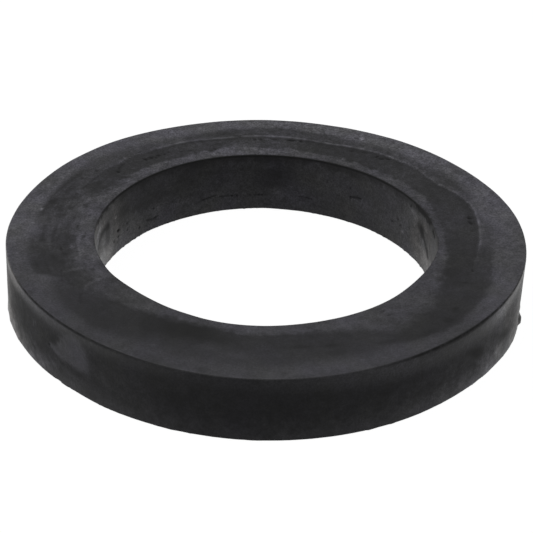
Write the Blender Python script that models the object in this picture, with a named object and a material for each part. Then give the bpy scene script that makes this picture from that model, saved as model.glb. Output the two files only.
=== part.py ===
"""A tank to bowl gasket: one thick, flat ring moulded in black rubber.

The ring lies flat, with its origin at the centre of its underside and +Z up.
Its section is turned about Z: an outer wall and a bore wall with a little
draft, small rounds where the walls meet the faces, and an upper face whose
outer band stands a hair above the seating zone round the bore. The foot of
that shallow step wanders a little in radius, as a moulded edge does.

Lengths are in metres.
"""

import math

import bmesh
import bpy

MM = 0.001

# Driving dimensions
OUTER_RADIUS_TOP = 47.55 * MM
OUTER_RADIUS_BASE = 47.65 * MM
BORE_RADIUS_TOP = 31.69 * MM
BORE_RADIUS_BASE = 31.55 * MM
THICKNESS = 12.20 * MM

# Small rounds where the walls meet the faces
ROUND_OUTER_TOP = 0.35 * MM
ROUND_BORE_TOP = 0.30 * MM
ROUND_BASE = 0.20 * MM
ROUND_STEPS = 3

# The shallow step in the upper face: the zone inside it is the lower one
STEP_RADIUS = 39.68 * MM
STEP_DEPTH = 0.16 * MM
STEP_RUN = 0.28 * MM
# Wander of the step's radius: waves round the ring, amplitude, phase in degrees
STEP_WAVES = (
    (1, 0.18 * MM, 44.0),
    (2, 0.21 * MM, 118.0),
    (3, 0.25 * MM, 48.0),
    (5, 0.20 * MM, 206.0),
    (7, 0.27 * MM, 138.0),
    (8, 0.16 * MM, 48.0),
    (9, 0.27 * MM, 132.0),
    (11, 0.28 * MM, 189.0),
)

# Fineness of the turned surface
SEGMENTS = 144

COLOUR = (0.030, 0.030, 0.033, 1.0)
ROUGHNESS = 0.62


def clear_scene():
    for obj in list(bpy.data.objects):
        bpy.data.objects.remove(obj, do_unlink=True)
    for mesh in list(bpy.data.meshes):
        if mesh.users == 0:
            bpy.data.meshes.remove(mesh)


def rounded_corner(before, corner, after, radius, steps):
    """Points of the round that takes the place of a corner of the section."""
    ax, az = before[0] - corner[0], before[1] - corner[1]
    bx, bz = after[0] - corner[0], after[1] - corner[1]
    la, lb = math.hypot(ax, az), math.hypot(bx, bz)
    ax, az, bx, bz = ax / la, az / la, bx / lb, bz / lb
    opening = math.acos(max(-1.0, min(1.0, ax * bx + az * bz)))
    setback = radius / math.tan(opening / 2)
    mx, mz = ax + bx, az + bz
    lm = math.hypot(mx, mz)
    reach = radius / math.sin(opening / 2)
    cx, cz = corner[0] + mx / lm * reach, corner[1] + mz / lm * reach
    start = (corner[0] + ax * setback, corner[1] + az * setback)
    end = (corner[0] + bx * setback, corner[1] + bz * setback)
    a0 = math.atan2(start[1] - cz, start[0] - cx)
    a1 = math.atan2(end[1] - cz, end[0] - cx)
    sweep = (a1 - a0 + math.pi) % (2 * math.pi) - math.pi
    return [
        (
            cx + radius * math.cos(a0 + sweep * k / steps),
            cz + radius * math.sin(a0 + sweep * k / steps),
        )
        for k in range(steps + 1)
    ]


def section():
    """The closed section in (radius, height), and which points are the step's."""
    outer_top = (OUTER_RADIUS_TOP, THICKNESS)
    outer_base = (OUTER_RADIUS_BASE, 0.0)
    bore_base = (BORE_RADIUS_BASE, 0.0)
    bore_top = (BORE_RADIUS_TOP, THICKNESS - STEP_DEPTH)
    step_low = (STEP_RADIUS - STEP_RUN / 2, THICKNESS - STEP_DEPTH)
    step_high = (STEP_RADIUS + STEP_RUN / 2, THICKNESS)

    points = []
    points += rounded_corner(step_high, outer_top, outer_base, ROUND_OUTER_TOP, ROUND_STEPS)
    points += rounded_corner(outer_top, outer_base, bore_base, ROUND_BASE, ROUND_STEPS - 1)
    points += rounded_corner(outer_base, bore_base, bore_top, ROUND_BASE, ROUND_STEPS - 1)
    points += rounded_corner(bore_base, bore_top, step_low, ROUND_BORE_TOP, ROUND_STEPS)
    first_step_point = len(points)
    points += [step_low, step_high]
    return points, first_step_point


def step_wander(angle):
    """How far the step's radius departs from its mean at an angle round the ring."""
    return sum(a * math.cos(n * angle - math.radians(p)) for n, a, p in STEP_WAVES)


def turned_ring(name):
    """The section spun about Z, with the step's two edges moved by its wander."""
    points, first_step_point = section()
    bm = bmesh.new()
    profile = [bm.verts.new((r, 0.0, z)) for r, z in points]
    edges = [
        bm.edges.new((profile[i], profile[(i + 1) % len(profile)]))
        for i in range(len(profile))
    ]
    bmesh.ops.spin(
        bm,
        geom=profile + edges,
        cent=(0.0, 0.0, 0.0),
        axis=(0.0, 0.0, 1.0),
        dvec=(0.0, 0.0, 0.0),
        angle=2 * math.pi,
        steps=SEGMENTS,
        use_merge=True,
        use_duplicate=False,
    )
    bmesh.ops.remove_doubles(bm, verts=bm.verts[:], dist=1e-6)

    low, high = points[first_step_point], points[first_step_point + 1]
    for vert in bm.verts:
        radius = math.hypot(vert.co.x, vert.co.y)
        for r, z in (low, high):
            if abs(radius - r) < 1e-6 and abs(vert.co.z - z) < 1e-6:
                angle = math.atan2(vert.co.y, vert.co.x)
                scale = (radius + step_wander(angle)) / radius
                vert.co.x *= scale
                vert.co.y *= scale
                break

    bmesh.ops.recalc_face_normals(bm, faces=bm.faces[:])
    mesh = bpy.data.meshes.new(name)
    bm.to_mesh(mesh)
    bm.free()
    mesh.shade_smooth()
    mesh.set_sharp_from_angle(angle=math.radians(35.0))
    return mesh


def rubber(name):
    material = bpy.data.materials.new(name)
    material.use_nodes = True
    shader = material.node_tree.nodes["Principled BSDF"]
    shader.inputs["Base Color"].default_value = COLOUR
    shader.inputs["Roughness"].default_value = ROUGHNESS
    shader.inputs["Metallic"].default_value = 0.0
    return material


def main():
    clear_scene()
    mesh = turned_ring("gasket")
    mesh.materials.append(rubber("black_rubber"))
    gasket = bpy.data.objects.new("gasket", mesh)
    bpy.context.scene.collection.objects.link(gasket)
    gasket.location = (0.0, 0.0, 0.0)


main()
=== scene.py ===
"""Looks for the tank to bowl gasket: a fine mesh of the moulded ring with its
flow marks, pits and flash, a procedural rubber, a pale floor, soft studio light
and the camera."""

import math

import bmesh
import bpy
import numpy as np
from mathutils import Matrix, Vector, noise


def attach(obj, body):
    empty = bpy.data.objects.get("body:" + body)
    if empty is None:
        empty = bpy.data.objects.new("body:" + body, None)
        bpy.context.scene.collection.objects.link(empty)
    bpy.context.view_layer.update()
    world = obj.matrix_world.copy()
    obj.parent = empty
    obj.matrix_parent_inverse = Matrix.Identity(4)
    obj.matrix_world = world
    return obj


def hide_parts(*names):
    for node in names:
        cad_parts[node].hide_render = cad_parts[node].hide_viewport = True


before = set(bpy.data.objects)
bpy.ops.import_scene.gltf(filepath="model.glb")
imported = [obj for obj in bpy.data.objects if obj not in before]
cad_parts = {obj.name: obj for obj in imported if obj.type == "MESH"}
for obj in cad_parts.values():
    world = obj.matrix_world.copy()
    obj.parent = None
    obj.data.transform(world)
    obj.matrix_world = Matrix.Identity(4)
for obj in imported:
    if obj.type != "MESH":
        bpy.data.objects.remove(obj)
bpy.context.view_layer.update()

MM = 0.001
HEIGHT = 12.30  # mm, at the crown of the upper face
R_TOP, R_BASE = 47.64, 47.70
B_TOP, B_BASE = 31.60, 31.50
STEP_RUN = 0.30
SHEAR = 0.14  # the upper face lies this far to +X of the axis, and the underside to -X
E_OUT, E_IN, E_BASE = 0.34, 0.30, 0.16  # small rounds at the edges


# ---------------------------------------------------------------- curves and masks
def ring_curve(knots):
    """A smooth closed curve through (angle in degrees, value) knots, read at any angles in radians."""
    knots = sorted((a % 360.0, v) for a, v in knots)
    a = np.array([k[0] for k in knots])
    v = np.array([k[1] for k in knots])
    a3 = np.concatenate([a - 360, a, a + 360])
    v3 = np.concatenate([v, v, v])
    slope = np.gradient(v3, a3)

    def read(theta):
        d = np.degrees(theta) % 360.0
        i = np.clip(np.searchsorted(a3, d, side="right") - 1, 0, len(a3) - 2)
        h = a3[i + 1] - a3[i]
        t = (d - a3[i]) / h
        h00, h10 = 2 * t**3 - 3 * t**2 + 1, t**3 - 2 * t**2 + t
        h01, h11 = -2 * t**3 + 3 * t**2, t**3 - t**2
        return h00 * v3[i] + h10 * h * slope[i] + h01 * v3[i + 1] + h11 * h * slope[i + 1]

    return read


def smooth(x, a, b):
    t = np.clip((x - a) / (b - a), 0.0, 1.0)
    return t * t * (3 - 2 * t)


def wave(t, n, amplitude, peak):
    """amplitude times the cosine of n turns, highest at the angle peak in degrees."""
    return amplitude * np.cos(n * (t - math.radians(peak)))


def turn_gap(t, at):
    """Angle from at (degrees) to t (radians), in radians, the short way round."""
    return (t - math.radians(at) + math.pi) % (2 * math.pi) - math.pi


def patch(t, u, at, u0, half_along, half_across, radius, soft=0.6, turn=0.0):
    """0 to 1 inside a soft ellipse: at degrees round, u0 mm across, half sizes in mm."""
    x = turn_gap(t, at) * radius
    y = u - u0
    if turn:
        c, s = math.cos(math.radians(turn)), math.sin(math.radians(turn))
        x, y = x * c + y * s, y * c - x * s
    q = np.sqrt((x / half_along) ** 2 + (y / half_across) ** 2)
    return 1 - smooth(q, 1 - soft, 1 + soft)


def stroke(t, u, points, half_width, radius, soft=0.8):
    """0 to 1 along a polyline of (degrees, mm) points."""
    best = np.full_like(u, 1e9)
    for (a0, u0), (a1, u1) in zip(points[:-1], points[1:]):
        x0, y0 = turn_gap(t, a0) * radius, u - u0
        dx, dy = math.radians(a1 - a0) * radius, u1 - u0
        k = np.clip((x0 * dx + y0 * dy) / (dx * dx + dy * dy), 0, 1)
        best = np.minimum(best, np.hypot(x0 - k * dx, y0 - k * dy))
    return 1 - smooth(best, half_width * (1 - soft), half_width * (1 + soft))


# ---------------------------------------------------------------- shape of the ring
def out_of_round(t):
    """How far the ring is from a true circle, as a share of its radius."""
    return -0.0006 * np.cos(3 * t) + 0.0019 * np.sin(3 * t) + 0.0040 * np.cos(4 * t)


def top_warp(t):
    """Rise and fall of the upper face in mm."""
    return 47.55 * (
        -0.0010 * np.cos(2 * t) - 0.0014 * np.sin(2 * t) + 0.0003 * np.cos(3 * t)
        - 0.0015 * np.sin(3 * t) - 0.0023 * np.cos(4 * t) + 0.0006 * np.sin(4 * t)
    )


# Radius of the shallow step in the upper face, in mm
step_radius = ring_curve([
    (0, 39.30), (6, 39.69), (10, 40.10), (14, 40.55), (19, 40.80), (24, 40.45), (29, 39.70), (33, 39.25), (37, 39.25),
    (41, 39.95), (45, 40.25), (50, 40.15), (55, 40.30), (60, 40.08), (66, 39.67), (72, 39.18), (78, 39.53), (84, 39.72), (90, 39.88),
    (96, 39.85), (103, 39.55), (108, 39.67), (114, 40.0), (122, 39.94), (132, 40.02), (138, 39.7), (145, 39.7),
    (150, 39.04), (157, 38.82), (168, 39.13), (176, 38.8), (190, 39.3), (205, 39.7), (222, 39.2), (240, 39.8),
    (258, 39.4), (275, 39.9), (292, 39.5), (310, 39.9), (325, 39.2), (338, 39.0), (350, 38.8),
])
# How far each edge strays from its circle, in mm outward
stray_out_top = ring_curve([
    (342, -0.05), (352, 0.0), (2, 0.07), (12, 0.14), (21, 0.10), (29, 0.02), (36, 0.0), (43, 0.06), (49, 0.14),
    (55, 0.20), (61, 0.12), (68, 0.10), (76, 0.03), (84, 0.12), (91, 0.13), (98, 0.05), (106, -0.05), (113, -0.06),
    (118, 0.0), (123, 0.12), (128, 0.26), (134, 0.32), (140, 0.25), (147, 0.24), (155, 0.06), (163, -0.03),
    (172, -0.02), (182, 0.05), (193, 0.04), (230, 0.0), (300, 0.0),
])
stray_out_base = ring_curve([
    (178, -0.04), (188, -0.06), (197, 0.14), (206, 0.16), (214, 0.18), (219, 0.16), (227, 0.0), (233, 0.10),
    (242, 0.12), (250, 0.10), (260, 0.10), (270, 0.10), (280, 0.11), (289, 0.12), (301, 0.12), (311, 0.04),
    (317, 0.03), (323, 0.06), (331, 0.20), (337, 0.34), (342, 0.28), (348, 0.02), (357, -0.05), (30, 0.0), (90, 0.0), (150, 0.0),
])
stray_in_base = ring_curve([
    (10, -0.05), (20, -0.04), (30, -0.07), (38, -0.10), (46, -0.05), (57, -0.12), (66, -0.18), (74, -0.18),
    (81, -0.21), (86, -0.15), (90, -0.04), (94, -0.06), (100, -0.10), (110, -0.08), (116, -0.16), (126, -0.20),
    (132, -0.15), (138, -0.10), (146, -0.26), (155, -0.32), (165, -0.30), (175, -0.15), (188, 0.0), (270, 0.0), (345, 0.0),
])
stray_in_top = ring_curve([
    (2, -0.20), (8, -0.28), (16, -0.30), (24, -0.30), (30, -0.28), (36, -0.24), (42, -0.17), (50, -0.08), (60, -0.04),
    (75, 0.06), (90, 0.10), (105, 0.10), (118, 0.02), (130, -0.10), (145, -0.14), (158, -0.18), (168, -0.15), (180, -0.05),
    (200, 0.05), (211, 0.13), (221, -0.12), (228, -0.12), (233, -0.08), (239, 0.0),
    (246, 0.0), (252, 0.11), (259, 0.15), (265, 0.09), (270, 0.02), (277, -0.08), (283, -0.09), (288, -0.07),
    (294, 0.02), (298, 0.06), (303, 0.12), (308, 0.14), (315, 0.02), (323, -0.22), (331, -0.36), (341, -0.25), (355, -0.05),
])
# How high the step is: full behind, fading to almost nothing towards the front
step_height = ring_curve([
    (0, 0.15), (20, 0.16), (60, 0.16), (90, 0.17), (120, 0.15), (145, 0.10), (160, 0.06), (180, 0.03),
    (220, 0.02), (270, 0.02), (320, 0.02), (340, 0.05), (352, 0.10),
])


def section_rows(t):
    """Rows of the section at angles t: arrays of nominal radius and depth below the upper face, in mm."""
    rows = []
    one = np.ones_like(t)
    s = step_radius(t)
    drop = step_height(t)

    # step, inner foot to outer crest
    for k in (0.0, 0.25, 0.5, 0.75, 1.0):
        rows.append((s + (k - 0.5) * STEP_RUN, drop * (1 - smooth(k, 0.0, 1.0))))
    # outer band
    a, b = s + 0.5 * STEP_RUN, (R_TOP - E_OUT) * one
    for k in np.linspace(0, 1, 19)[1:-1]:
        rows.append((a + (b - a) * k, 0 * one))
    # outer top round
    for k in range(0, 7):
        g = math.radians(90 - 15 * k)
        rows.append(((R_TOP - E_OUT + E_OUT * math.cos(g)) * one, (E_OUT - E_OUT * math.sin(g)) * one))
    # outer wall
    for k in np.linspace(0, 1, 36)[1:-1]:
        d = E_OUT + (HEIGHT - E_BASE - E_OUT) * k
        rows.append(((R_TOP + (R_BASE - R_TOP) * d / HEIGHT) * one, d * one))
    # outer bottom round
    for k in range(0, 4):
        g = math.radians(30 * k)
        rows.append(((R_BASE - E_BASE + E_BASE * math.cos(g)) * one, (HEIGHT - E_BASE + E_BASE * math.sin(g)) * one))
    # underside
    for k in np.linspace(0, 1, 7)[1:-1]:
        r = (R_BASE - E_BASE) + ((B_BASE + E_BASE) - (R_BASE - E_BASE)) * k
        rows.append((r * one, HEIGHT * one))
    # bore bottom round
    for k in range(0, 4):
        g = math.radians(30 * k)
        rows.append(((B_BASE + E_BASE - E_BASE * math.sin(g)) * one, (HEIGHT - E_BASE + E_BASE * math.cos(g)) * one))
    # bore wall, bottom to top
    top_in = drop + E_IN
    for k in np.linspace(0, 1, 36)[1:-1]:
        d = (HEIGHT - E_BASE) + (top_in - (HEIGHT - E_BASE)) * k
        rows.append((B_TOP + (B_BASE - B_TOP) * d / HEIGHT, d))
    # bore top round
    for k in range(0, 6):
        g = math.radians(18 * k)
        rows.append(((B_TOP + E_IN - E_IN * math.cos(g)) * one, drop + E_IN - E_IN * math.sin(g)))
    # inner zone
    a, b = (B_TOP + E_IN) * one, s - 0.5 * STEP_RUN
    for k in np.linspace(0, 1, 19)[1:-1]:
        rows.append((a + (b - a) * k, drop))
    return rows


def place(theta, rho, dep):
    """Position in mm of a nominal point of the ring."""
    r = rho * (1 + out_of_round(theta))
    shift = SHEAR * (1 - 2 * dep / HEIGHT)
    z = (HEIGHT + top_warp(theta)) * (1 - dep / HEIGHT)
    return np.stack([r * np.cos(theta) + shift, r * np.sin(theta), z], -1)


def nominal(p):
    """The reverse of place: angle, nominal radius and depth of positions in mm."""
    x, y, z = p[:, 0], p[:, 1], p[:, 2]
    theta = np.arctan2(y, x)
    for _ in range(2):
        dep = HEIGHT * (1 - z / (HEIGHT + top_warp(theta)))
        xs = x - SHEAR * (1 - 2 * dep / HEIGHT)
        theta = np.arctan2(y, xs)
    rho = np.hypot(xs, y) / (1 + out_of_round(theta))
    return theta, rho, dep


AROUND = 640


def ring_bmesh():
    t = np.arange(AROUND) * (2 * math.pi / AROUND)
    rows = section_rows(t)
    pts = np.stack([place(t, r, d) for r, d in rows])  # rows x around x 3
    n = len(rows)
    bm = bmesh.new()
    grid = [[bm.verts.new(pts[i, j] * MM) for j in range(AROUND)] for i in range(n)]
    for i in range(n):
        i2 = (i + 1) % n
        for j in range(AROUND):
            j2 = (j + 1) % AROUND
            bm.faces.new((grid[i][j], grid[i2][j], grid[i2][j2], grid[i][j2]))
    bmesh.ops.recalc_face_normals(bm, faces=bm.faces[:])
    return bm


# ---------------------------------------------------------------- flaws that are cut or raised
# Pits and lumps: face, degrees round, mm (radius on the top, depth on a wall), half sizes in mm,
# turn in degrees, height in mm (less than zero is a pit), change of tone (the darkening is painted shade in the hollow)
PITS = (
    ("top", 11.4, 38.90, 0.52, 0.38, 0, -0.22, -0.96),
    ("top", 8.6, 38.55, 0.72, 0.34, -8, -0.12, -0.75),
    ("top", 4.0, 38.20, 0.50, 0.35, 0, -0.05, -0.40),
    ("top", 52.3, 39.50, 0.50, 0.30, -30, -0.12, -0.75),
    ("top", 53.9, 38.70, 0.60, 0.30, -40, -0.12, -0.75),
    ("top", 55.7, 39.00, 0.26, 0.55, 0, -0.10, -0.75),
    ("top", 60.3, 39.20, 0.65, 0.40, 0, -0.08, -0.50),
    ("top", 63.7, 38.30, 0.32, 0.46, 0, -0.08, -0.50),
    ("top", 80.3, 39.00, 0.32, 0.50, 0, -0.12, -0.75),
    ("top", 83.3, 39.05, 0.92, 0.46, 0, -0.25, -0.98),
    ("top", 88.2, 38.85, 0.70, 0.30, 0, -0.08, -0.50),
    ("top", 92.4, 38.70, 0.44, 0.38, 0, -0.12, -0.78),
    ("top", 94.3, 38.75, 0.42, 0.44, 0, -0.14, -0.85),
    ("top", 107.8, 35.50, 0.36, 0.45, 0, -0.10, -0.55),
    ("top", 116.0, 36.30, 0.50, 0.28, 0, -0.06, -0.40),
    ("top", 118.6, 36.60, 0.40, 0.26, 0, -0.06, -0.40),
    ("top", 122.4, 37.60, 0.30, 0.24, 0, -0.06, -0.50),
    ("top", 124.2, 37.20, 0.34, 0.28, 0, -0.08, -0.60),
    ("top", 126.2, 37.35, 0.46, 0.36, 15, -0.14, -0.80),
    ("top", 127.6, 36.90, 0.30, 0.24, 0, -0.08, -0.60),
    ("top", 128.7, 37.50, 0.52, 0.42, 10, -0.18, -0.90),
    ("top", 130.9, 37.60, 0.38, 0.56, 0, -0.18, -0.93),
    ("top", 129.7, 40.60, 0.36, 0.34, 0, -0.06, -0.55),
    ("top", 142.3, 37.20, 0.36, 0.36, 0, -0.14, -0.85),
    ("top", 140.4, 38.25, 0.30, 0.24, -25, -0.05, -0.25),
    ("top", 138.3, 38.80, 0.42, 0.28, -25, -0.06, -0.28),
    ("top", 137.0, 39.10, 0.30, 0.24, -25, -0.04, -0.20),
    ("top", 146.0, 40.60, 0.35, 0.26, 0, -0.05, -0.40),
    ("top", 151.7, 41.10, 0.35, 0.28, 0, -0.05, -0.50),
    ("top", 192.0, 37.80, 0.70, 0.22, 0, -0.04, -0.28),
    ("top", 171.2, 33.60, 0.55, 0.30, 0, -0.06, -0.50),
    ("top", 154.0, 32.60, 0.30, 0.24, 0, -0.06, -0.50),
    ("top", 194.3, 35.00, 0.35, 0.28, 0, -0.05, -0.45),
    ("top", 306.6, 33.80, 0.60, 0.32, 0, -0.06, -0.45),
    ("top", 306.8, 35.40, 0.55, 0.26, 0, -0.05, -0.40),
    ("top", 341.4, 39.00, 0.60, 0.24, -22, -0.10, -0.55),
    ("top", 334.6, 39.20, 0.40, 0.40, 0, -0.05, -0.40),
    ("top", 335.4, 32.80, 0.55, 0.26, 0, -0.05, -0.35),
    ("in", 155.8, 7.75, 0.42, 0.30, 0, -0.25, -0.98),
    ("in", 149.9, 9.10, 0.40, 0.26, 0, -0.10, -0.55),
    ("in", 150.2, 7.60, 0.22, 0.26, 0, -0.08, -0.50),
    ("in", 159.2, 9.30, 0.30, 0.28, 0, -0.10, -0.55),
    ("in", 156.0, 9.00, 0.36, 0.26, 0, -0.08, -0.50),
    ("in", 143.0, 10.40, 0.26, 0.30, 0, -0.10, -0.60),
    ("in", 135.6, 7.70, 0.26, 0.24, 0, -0.08, -0.50),
    ("in", 102.8, 9.15, 0.23, 0.23, 0, -0.12, -0.75),
    ("in", 101.0, 9.20, 0.23, 0.23, 0, -0.12, -0.75),
    ("in", 96.2, 9.20, 0.20, 0.22, 0, -0.06, -0.50),
    ("in", 92.9, 9.20, 0.22, 0.24, 0, -0.08, -0.65),
    ("in", 91.7, 9.20, 0.22, 0.24, 0, -0.08, -0.65),
    ("in", 67.5, 4.60, 0.22, 0.20, 0, -0.06, -0.45),
    ("in", 58.0, 4.60, 0.22, 0.20, 0, -0.06, -0.40),
    ("in", 27.6, 1.70, 0.24, 0.24, 0, -0.10, -0.60),
    ("in", 27.5, 6.70, 0.20, 0.22, 0, -0.06, -0.45),
    ("in", 34.5, 6.50, 0.24, 0.26, 0, -0.06, -0.45),
    ("in", 33.0, 7.40, 0.40, 0.30, 30, -0.06, -0.45),
    ("in", 37.5, 7.70, 0.34, 0.22, 0, -0.06, -0.40),
    ("out", 219.6, 6.10, 0.20, 0.24, 0, -0.05, -0.40),
    ("out", 213.4, 9.50, 0.60, 0.45, 0, -0.05, -0.22),
)
# Raised specks: face, degrees, mm, half sizes, turn, height, change of tone
SPECKS = (
    ("top", 64.25, 44.10, 0.30, 0.50, 0, 0.10, 2.10),
    ("top", 64.0, 42.30, 0.40, 0.50, 0, 0.04, 0.40),
    ("top", 66.6, 43.20, 0.40, 0.45, 0, 0.04, 0.35),
    ("top", 170.7, 42.80, 0.42, 0.28, 0, 0.10, 2.60),
    ("top", 168.0, 40.70, 0.36, 0.26, 0, 0.05, 0.90),
    ("top", 177.5, 45.30, 0.26, 0.22, 0, 0.04, 0.40),
    ("top", 177.6, 43.10, 0.26, 0.30, 0, 0.03, 0.12),
    ("top", 135.2, 40.20, 0.34, 0.50, 0, 0.06, 1.00),
    ("top", 137.2, 39.80, 0.40, 0.40, 0, 0.05, 0.70),
    ("top", 140.8, 39.60, 0.40, 0.30, 0, 0.04, 0.40),
    ("top", 157.0, 38.60, 0.50, 0.26, 0, 0.04, 0.50),
    ("top", 326.0, 37.30, 0.45, 0.38, 0, 0.04, 0.50),
    ("top", 302.3, 37.70, 0.45, 0.45, 0, 0.04, 0.35),
    ("top", 245.0, 43.00, 0.45, 0.40, 0, 0.03, 0.40),
    ("top", 157.6, 38.80, 0.30, 0.26, 0, 0.04, 0.45),
    ("in", 157.7, 4.20, 0.36, 0.28, 0, 0.14, 3.20),
    ("in", 81.0, 6.90, 0.26, 0.26, 0, 0.05, 0.40),
    ("in", 133.6, 7.80, 0.30, 0.24, 0, 0.05, 0.50),
    ("in", 52.6, 6.60, 0.22, 0.50, 0, 0.06, 0.30),
    ("in", 76.5, 8.40, 0.36, 0.20, 0, 0.04, 0.40),
    ("in", 31.6, 8.50, 0.34, 0.26, 20, 0.05, 0.40),
    ("out", 213.0, 4.60, 0.24, 0.55, -15, 0.05, 1.20),
)
# Shallow cracks and flow lines: face, points, half width, depth, change of tone (the darkening is painted shade in the
# crease)
CRACKS = (
    ("in", ((138.9, 9.6), (136.6, 10.0), (134.9, 9.9)), 0.21, -0.10, -0.52),
    ("in", ((134.9, 9.9), (133.4, 9.7)), 0.16, -0.08, -0.40),
    ("in", ((117.5, 9.7), (114.0, 9.2)), 0.15, -0.06, -0.30),
    ("in", ((114.0, 9.2), (112.0, 8.95), (109.3, 8.7)), 0.17, -0.10, -0.55),
    ("in", ((107.6, 9.0), (105.0, 9.1), (103.0, 9.15)), 0.14, -0.08, -0.40),
    ("in", ((57.5, 6.55), (55.5, 6.35), (53.3, 6.2)), 0.20, -0.12, -0.60),
    ("in", ((57.8, 6.6), (57.7, 7.3)), 0.14, -0.06, -0.50),
    ("in", ((78.0, 8.9), (75.5, 8.95), (73.0, 9.1)), 0.16, -0.06, -0.50),
    ("in", ((94.6, 9.15), (90.0, 9.2)), 0.12, -0.04, -0.30),
    ("top", ((138.0, 38.7), (140.2, 38.1), (142.0, 37.3)), 0.24, -0.04, -0.20),
    ("top", ((203.2, 39.4), (205.6, 40.0), (208.4, 40.5)), 0.22, -0.04, -0.25),
    ("top", ((220.0, 41.4), (218.0, 40.6), (216.4, 39.8)), 0.26, -0.03, -0.25),
)
RAD = {"top": 39.0, "in": 31.55, "out": 47.67}


def face_of(rho, dep):
    """Which face a nominal point is on: 0 top, 1 bore wall, 2 outer wall, 3 underside."""
    mid = 0.5 * (R_TOP + B_TOP)
    top = dep < 0.45
    base = dep > HEIGHT - 0.5 * E_BASE
    out = rho > mid
    side = np.where(out, 2, 1)
    near_wall = np.where(out, rho > R_TOP - 0.12, rho < B_TOP + 0.12)
    return np.where(base, 3, np.where(top & ~near_wall, 0, side))


def refine(bm):
    """Splits the mesh more finely where a flaw is smaller than its cells."""
    spots = []
    for face, a, u, h1, h2, *_ in PITS + SPECKS:
        if min(h1, h2) <= 0.36:
            spots.append((face, a, u, max(h1, h2) + 0.15))
    for face, points, w, *_ in CRACKS:
        for (a0, u0), (a1, u1) in zip(points[:-1], points[1:]):
            steps = max(1, int(abs(a1 - a0) * math.radians(1) * RAD[face] / 0.45))
            for k in range(steps + 1):
                f = k / steps
                spots.append((face, a0 + (a1 - a0) * f, u0 + (u1 - u0) * f, w + 0.18))
    for a in np.arange(345.5, 354.0, 0.5):
        spots.append(("out", a, 11.9, 0.8))
    for a in np.arange(219.5, 224.5, 0.5):
        spots.append(("out", a, 12.0, 0.6))
    where = []
    for face, a, u, reach in spots:
        t = np.array([math.radians(a)])
        if face == "top":
            p = place(t, np.array([u]), np.array([0.0]))[0]
        elif face == "in":
            p = place(t, np.array([B_TOP + (B_BASE - B_TOP) * u / HEIGHT]), np.array([u]))[0]
        else:
            p = place(t, np.array([R_TOP + (R_BASE - R_TOP) * u / HEIGHT]), np.array([u]))[0]
        where.append((p, reach))
    bm.verts.ensure_lookup_table()
    co = np.array([v.co[:] for v in bm.verts]) / MM
    near = np.zeros(len(co), bool)
    for p, reach in where:
        near |= ((co - p) ** 2).sum(1) < (reach + 0.12) ** 2
    for v, n in zip(bm.verts, near):
        v.tag = bool(n)
    edges = [e for e in bm.edges if e.verts[0].tag and e.verts[1].tag]
    bmesh.ops.subdivide_edges(bm, edges=edges, cuts=2, use_grid_fill=True)
    odd = [f for f in bm.faces if len(f.verts) > 4]
    bmesh.ops.triangulate(bm, faces=odd)


def lift(theta, rho, dep, face):
    """Height in mm, outward from each face, of everything raised or sunk."""
    h = np.zeros_like(theta)
    across = {0: rho, 1: dep, 2: dep}
    number = {"top": 0, "in": 1, "out": 2}
    for name, a, u, h1, h2, turn, height, _ in PITS + SPECKS:
        n = number[name]
        near = (face == n) & (np.abs(turn_gap(theta, a)) < 0.06)
        if near.any():
            h[near] += height * patch(theta[near], across[n][near], a, u, h1, h2, RAD[name], 0.7, turn)
    for name, points, w, height, _ in CRACKS:
        n = number[name]
        near = (face == n) & (np.abs(turn_gap(theta, points[0][0])) < 0.2)
        h[near] += height * stroke(theta[near], across[n][near], points, w, RAD[name])
    return h


bm = ring_bmesh()
refine(bm)
mesh = bpy.data.meshes.new("gasket_rubber")
bm.to_mesh(mesh)
bm.free()
mesh.shade_smooth()

co = np.zeros(len(mesh.vertices) * 3, np.float32)
mesh.vertices.foreach_get("co", co)
co = co.reshape(-1, 3).astype(float) / MM
normal = np.zeros(len(mesh.vertices) * 3, np.float32)
mesh.vertices.foreach_get("normal", normal)
normal = normal.reshape(-1, 3).astype(float)
theta, rho, dep = nominal(co)
face = face_of(rho, dep)


def wander(p, scale, seed):
    """Smooth noise, about -1 to 1, at points in mm."""
    out = np.empty(len(p))
    off = Vector((seed * 7.3, seed * 3.1, seed * 5.7))
    for i, q in enumerate(p):
        out[i] = noise.noise(Vector(q) / scale + off)
    return out


slow = wander(co, 6.0, 1)
mid = wander(co, 2.2, 2)
fine = wander(co, 0.85, 3)
hue = wander(co, 4.5, 4)
# the same right across a face, for the step's line
wobble = wander(np.stack([39.0 * np.cos(theta), 39.0 * np.sin(theta), 0 * theta], -1), 1.5, 6)
# drawn out round the ring
streak = wander(np.stack([12.0 * np.cos(theta), 12.0 * np.sin(theta), (rho - dep) / 0.55], -1), 1.0, 5)

h = lift(theta, rho, dep, face)
h += 0.020 * slow + 0.012 * mid + 0.006 * fine

# flash along the bottom edges, ragged, and the tab of it at the right
edge_out = patch(theta, dep, 0, HEIGHT, 1e6, 0.45, 47.7) * (face == 2)
edge_in = patch(theta, dep, 0, HEIGHT, 1e6, 0.45, 31.5) * (face == 1)
h += edge_out * 0.10 * np.clip(mid + 0.2, 0, 1) + edge_in * 0.16 * np.clip(fine + 0.1, 0, 1)
low_edge = np.where(face == 3, rho > R_BASE - 0.6, face == 2)
tab = patch(theta, dep, 348.4, 11.9, 1.12, 0.95, 47.7, 0.62) * low_edge
tab += 0.20 * patch(theta, dep, 351.9, 11.0, 0.55, 0.6, 47.7, 0.5) * low_edge
notch = patch(theta, dep, 222.6, HEIGHT, 0.7, 0.35, 47.7, 0.5) * low_edge

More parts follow.
